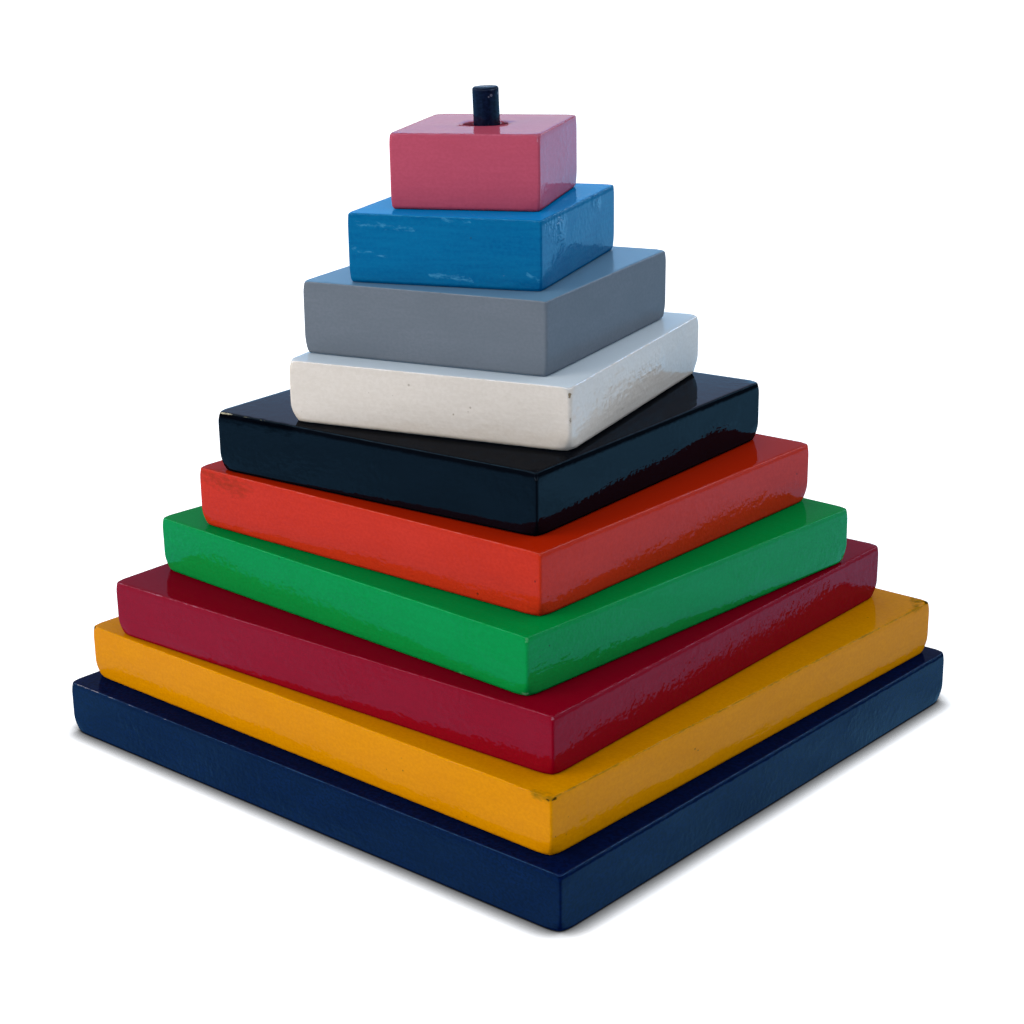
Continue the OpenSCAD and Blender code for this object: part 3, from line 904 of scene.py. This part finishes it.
# The top colours are painted light and shade, and the edge colours are worn paint with a painted highlight.
LOOKS = {
    "base_board": dict(
        colour="#021644", thick_colour="#020e30", coat=0.33, top_coat=0.03, line_coat=0.06, streaky=0.6,
        mottled=1.0, cloudy=0.7, lip_depth=0.9, edge_colour="#2c5a86", pale_colour="#b0a8ac",
        grime_colour="#0a1428", speck_colour="#33507c",
        marks=[("pale", (-0.97, -1, 1), (-0.86, -1, 1), 0.5, 1.0),
               ("pale", (-0.84, -1, 1), (-0.5, -1, 1), 0.4, 0.6),
               ("bubbles", (-0.7, -1, 0.35), (0.25, -1, 0.25), 9, 0.4)]),
    "yellow_board": dict(
        colour="#e09500", thick_colour="#d28500", coat=0.16, top_coat=0.03, line_coat=0.0, lip_depth=0.3,
        edge_colour="#d8ac10", edge_wear=0.4, grime_colour="#6e5c10", chip_colour="#503808",
        marks=[("chip", (-1, -1, 0.97), (-0.985, -1, 0.99), 1.1, 0.9),
               ("grime_and_dark_reflection", (0.94, -1, 0.98), (1, -1, 1), 2.4, 0.85),
               ("chip", (0.975, -1, 1), (1, -1, 0.93), 0.9, 0.8),
               ("chip", (1, -0.975, 1), (1, -1, 0.93), 0.9, 0.8),
               ("grime_and_dark_reflection", (1, -1, 1), (1, 1, 1), 0.7, 0.8),
               ("chip", (0.985, 1, 1), (1, 0.97, 0.99), 1.4, 0.85),
               ("grime_and_dark_reflection", (0.94, 1, 1), (1, 0.9, 1), 2.4, 0.8)],
        spots=[((0.446, -1, 0.51), 0.3), ((0.69, -1, 0.14), 0.3), ((1, -0.98, 0.33), 0.4),
               ((1, -0.925, 0.55), 0.3), ((1, -0.675, 0.49), 0.25), ((1, -0.345, 0.55), 0.4),
               ((0.38, -1, 0.42), 0.25), ((1, -0.33, 0.5), 0.3)]),
    "crimson_board": dict(
        colour="#8b001b", thick_colour="#820018", coat=0.36, right_gloss=0.7, line_coat=0.04,
        edge_colour="#b06878", edge_wear=0.4, pale_colour="#b07080", peel_depth=0.2,
        marks=[("pale", (-0.99, -1, 1), (-0.5, -1, 1), 0.45, 0.7),
               ("pale", (1, -1, 1), (1, -1, 0.98), 1.5, 0.9),
               ("pale", (1, -1, 1), (1, -0.7, 1), 0.4, 0.6),
               ("bubbles", (1, -0.9, 0.5), (1, 0.3, 0.55), 5, 0.35)],
        spots=[((1, -0.24, 0.72), 0.35), ((1, -0.03, 0.68), 0.3)]),
    "green_board": dict(
        colour="#009240", thick_colour="#008838", coat=0.46, top_coat=0.03, line_coat=0.06, lip_depth=0.4,
        edge_colour="#30b478", pale_colour="#5cb078", upright_coat=1.0,
        marks=[("pale", (0.97, -1, 0.03), (1, -1, 0.04), 1.0, 0.8),
               ("pale", (0.68, -1, 0.02), (0.7, -1, 0.02), 0.9, 0.8),
               ("pale", (1, -1, 1), (1, -1, 0.97), 1.5, 0.9)],
        spots=[((1, -0.93, 0.6), 0.35), ((1, -0.88, 0.72), 0.3), ((-0.27, -1, 0.95), 0.4)]),
    "orange_board": dict(
        colour="#c83319", thick_colour="#ba2b12", coat=0.29, top_coat=0.04, top_tint=1.0,
        top_colour="#b82404", edge_colour="#e08878", edge_wear=0.35, grime_colour="#80301c", peel=1.5,
        marks=[("grime_and_dark_reflection", (-0.98, -1, 0.92), (-0.7, -1, 0.8), 6, 0.5),
               ("bubbles", (1, 0.1, 0.35), (1, 0.6, 0.4), 5, 0.4)],
        spots=[((0.67, -1, 0.12), 0.5), ((0.97, -1, 0.55), 0.35), ((1, 0.89, 0.55), 0.4)]),
    "black_board": dict(
        colour="#060a12", thick_colour="#04060a", coat=0.31, top_coat=0.08, line_coat=0.04, lip_at=0.9,
        lip_half=1.3, lip_depth=0.95, lip_left=1.0, right_gloss=0.75, top_corner=0.7, edge_colour="#20404c",
        pale_colour="#c8c4a8", grime_colour="#010206", peel_depth=0.07, stroke_depth=0.03,
        marks=[("pale", (-0.985, -1, 1), (-0.9, -1, 1), 0.7, 1.0),
               ("pale", (-0.88, -1, 1), (-0.6, -1, 1), 0.4, 0.8),
               # A painted dark reflection: a dark band under the top edge of the left face.
               ("grime_and_dark_reflection", (-0.98, -1, 0.9), (-0.5, -1, 0.93), 3.0, 0.8),
               ("bubbles", (1, 0.5, 0.5), (1, 0.75, 0.55), 5, 0.5)]),
    "white_board": dict(
        colour="#e0dad2", thick_colour="#d6cfc5", coat=0.6, top_coat=0.06, line_coat=0.8, lip_depth=0.0,
        right_gloss=0.85, top_tint=1.0, top_colour="#dbe6ed", top_corner=1.0, edge_wear=0.9,
        edge_colour="#ffffff", bottom=1.5, corner=1.4, low_corner=2.2, stroke_depth=0.09, calm=0.4,
        chip_colour="#8c7c64", speck_pitch=5.0, speck_size=0.45, specks=0.5, speck_colour="#8a7c68",
        marks=[("chip", (1, -1, 0.93), (1, -1, 0.86), 1.3, 0.9),
               ("chip", (1, -1, 0.74), (1, -1, 0.72), 1.2, 0.8),
               ("chip", (1, -1, 0.55), (1, -1, 0.45), 1.25, 0.85),
               ("bubbles", (1, -0.5, 0.45), (1, 0.3, 0.55), 6, 0.8)],
        spots=[((-0.98, -1, 0.9), 0.4), ((0.2, -1, 0.4), 0.35), ((-0.4, -1, 0.6), 0.3)]),
    "grey_board": dict(
        colour="#6f7883", thick_colour="#66707a", edge_colour="#98a0a8", roughness=0.3, coat=0.15,
        top_coat=0.1, top_tint=1.0, top_colour="#688ea8", low_corner=0.8, edge_coat=0.08, line_coat=0.1,
        coat_roughness=0.22, stroke_depth=0.01, peel_depth=0.02, cloudy=0.6, lip_depth=0.0,
        marks=[("chip", (0.15, -1, 1), (0.18, -1, 1), 0.7, 0.7)]),
    "blue_board": dict(
        colour="#005b91", thick_colour="#056c9e", coat=0.4, top_coat=0.06, line_coat=0.08, streaky=0.8,
        top_tint=1.0, top_colour="#0a8ad0", low_corner=0.5, top_corner=0.3,
        edge_colour="#38a8e0", pale_colour="#3a8cb8", grime_colour="#003c60", peel=1.6,
        # These pale strokes on the left face are painted highlights of the sky.
        marks=[("pale", (-0.9, -1, 0.85), (-0.3, -1, 0.8), 1.8, 0.45),
               ("pale", (-0.95, -1, 0.5), (-0.6, -1, 0.4), 1.2, 0.42),
               ("pale", (0.0, -1, 0.95), (0.3, -1, 0.93), 0.9, 0.5),
               ("pale", (-0.15, -1, 0.16), (0.28, -1, 0.13), 1.1, 0.8),
               ("pale", (0.85, -1, 0.25), (0.96, -1, 0.15), 1.2, 0.6),
               ("bubbles", (1, -0.9, 0.95), (1, -0.5, 0.8), 6, 1.2),
               ("bubbles", (1, 0.36, 0.92), (1, 0.5, 0.85), 3, 1.2),
               # A painted dark reflection along the upright edge at the right end.
               ("grime_and_dark_reflection", (1, 1, 0.85), (1, 1, 0.1), 1.3, 0.8)]),
    "pink_block": dict(
        colour="#bd5066", thick_colour="#b2485c", coat=0.44, top_coat=0.066, edge_colour="#d08098",
        specks=0.1, top_corner=0.4, low_corner=0.5, lip_depth=0.2,
        marks=[("chip", (0.985, 1, 1), (1, 1, 0.97), 0.9, 0.9)], spots=[((1, -0.7, 0.86), 0.3)]),
}
looks = {node: SimpleNamespace(**{**PLAIN, **look, "seed": index + 1.0})
         for index, (node, look) in enumerate(LOOKS.items())}
print(len(looks), "boards have a look")

# %% [markdown]
# Now the boards are made. The grid over their tops is 2 mm on the large boards and 1 mm on the small ones,
# and 1 mm up the sides of all of them. The same waves and knocks sit on a small board as on a large one, so
# they take up more of it. The base board's hole is a little wider and deeper than the peg's foot, for the
# glue.
# %% Make the boards
LARGE_BOARD = 100
WIDE_GRID = 2
FINE_GRID = 1
HOLE_FIELD = 1.6
GLUE_ROUND = 0.1
GLUE_BELOW = 0.3


def finish_piece(bm, name, to_place, node, material):
    """Turns a bmesh into a smooth object that stands for a CAD node and rides on its body."""
    mesh = bpy.data.meshes.new(name)
    bmesh.ops.transform(bm, matrix=to_place, verts=bm.verts)
    bm.to_mesh(mesh)
    bm.free()
    mesh.shade_smooth()
    piece = bpy.data.objects.new(name, mesh)
    bpy.context.scene.collection.objects.link(piece)
    mesh.materials.append(material)
    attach(piece, BODY[node])
    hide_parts(node)
    return piece


def make_board(node):
    """One board, from the block to the painted piece."""
    board, look = boards[node], looks[node]
    size = Vector((board.length, board.width, board.thick))
    radii = {"corner": look.corner, "top": look.top, "bottom": look.bottom}
    blind = node == "base_board"
    at_top = peg.foot + LEAN * ((board.thick - peg.foot.z) / LEAN.z)
    hole_at = tuple((at_top - board.centre).xy) if blind else (0, 0)
    radius = peg.radius + GLUE_ROUND if blind else board.hole
    hole_reach = radius + RIM_EASE + HOLE_FIELD
    spacing = WIDE_GRID if board.length > LARGE_BOARD else FINE_GRID
    bm = sanded_block(size, radii, spacing, hole_at, hole_reach)
    drill(bm, size, hole_at, hole_reach, radius, peg.foot.z - GLUE_BELOW if blind else None)
    mark_edges(bm, hole_at, hole_reach)
    mark_wear_and_painted_light(bm, size, look.marks)
    sand_by_hand(bm, size, look, look.seed, hole_at, hole_reach)
    to_place = (Matrix.Scale(MM, 4) @ Matrix.Translation(board.centre) @ Matrix.Rotation(board.turn, 4, "Z"))
    material = enamel(node.replace("_board", "").replace("_block", "") + " gloss enamel", board, look)
    return finish_piece(bm, node + "_painted", to_place, node, material)


pieces = {node: make_board(node) for node in BOARDS}
for node, piece in pieces.items():
    print(f"{piece.name:24s} {len(piece.data.polygons):6d} faces")

# %% [markdown]
# The peg is a dowel, brushed with enamel like the boards. Its outline is spun round its own axis and then
# laid on the leaning line that the joints give. The tip was cut by hand, so its rim is soft and a little
# uneven, and the rings of points are only a millimetre apart near it, where the peg shows.
# %% Make the peg
PEG_SIDES = 48
FOOT_BEVEL = 0.6
TIP_ROUND = 0.9
TIP_STEPS = 5
PEG_RINGS = 4
TIP_RINGS = 14
PEG_WAVE = 0.08
PEG_WAVE_LENGTH = 3.5
PEG_WAVE_SEED = 31
# The peg's top colour is painted sky light on its tip, and its edge colour worn paint with a painted highlight.
PEG_LOOK = SimpleNamespace(**{**PLAIN, **dict(
    seed=20.0, colour="#060a20", thick_colour="#162240", edge_colour="#4a6a80", speck_colour="#6a6e80",
    bristle=14.0, stroke=1.2, peel=1.6, stroke_depth=0.03, peel_depth=0.05, speck_pitch=1.7, speck_size=0.55,
    specks=0.8, nib_height=0.0, edge_wear=0.75, lip_depth=0.0, coat=0.28, top_coat=0.06, top_tint=1.0,
    top_colour="#34435a")})


def make_peg():
    """The dowel, from its foot in the base board to its soft tip."""
    bm = bmesh.new()
    r, length = peg.radius, peg.length
    tip = length - TIP_ROUND
    profile = [(0, 0), (r - FOOT_BEVEL, 0), (r, FOOT_BEVEL)]
    profile += [(r, height) for height in range(PEG_RINGS, int(tip - TIP_RINGS - PEG_RINGS / 2), PEG_RINGS)]
    profile += [(r, tip - back) for back in range(TIP_RINGS, -1, -1)]
    for step in range(1, TIP_STEPS + 1):
        angle = math.pi / 2 * step / TIP_STEPS
        profile.append((r - TIP_ROUND * (1 - math.cos(angle)), length - TIP_ROUND * (1 - math.sin(angle))))
    profile += [((r - TIP_ROUND) * share, length) for share in (0.66, 0.33, 0)]
    verts = [bm.verts.new((out, 0, height)) for out, height in profile]
    edges = [bm.edges.new(pair) for pair in zip(verts, verts[1:])]
    bmesh.ops.spin(bm, geom=verts + edges, cent=(0, 0, 0), axis=(0, 0, 1), angle=2 * math.pi, steps=PEG_SIDES,
                   use_merge=True)
    bmesh.ops.remove_doubles(bm, verts=bm.verts, dist=TINY)
    bmesh.ops.recalc_face_normals(bm, faces=bm.faces)
    mark_edges(bm, (0, 0), 0)
    mark_wear_and_painted_light(bm, Vector((2 * r, 2 * r, length)), [])
    bm.normal_update()
    moves = {vert: -PEG_WAVE * waves(vert.co, PEG_WAVE_SEED, PEG_WAVE_LENGTH) * vert.normal
             for vert in bm.verts}
    for vert, move in moves.items():
        vert.co += move
    leaning = Vector((0, 0, 1)).rotation_difference(LEAN).to_matrix().to_4x4()
    to_place = Matrix.Scale(MM, 4) @ Matrix.Translation(peg.foot) @ leaning
    plain_axis = SimpleNamespace(turn=0.0, centre=Vector((0, 0, 0)))
    return finish_piece(bm, "peg_painted", to_place, "peg", enamel("peg gloss enamel", plain_axis, PEG_LOOK))


peg_piece = make_peg()
print(f"{peg_piece.name}: {len(peg_piece.data.polygons)} faces")
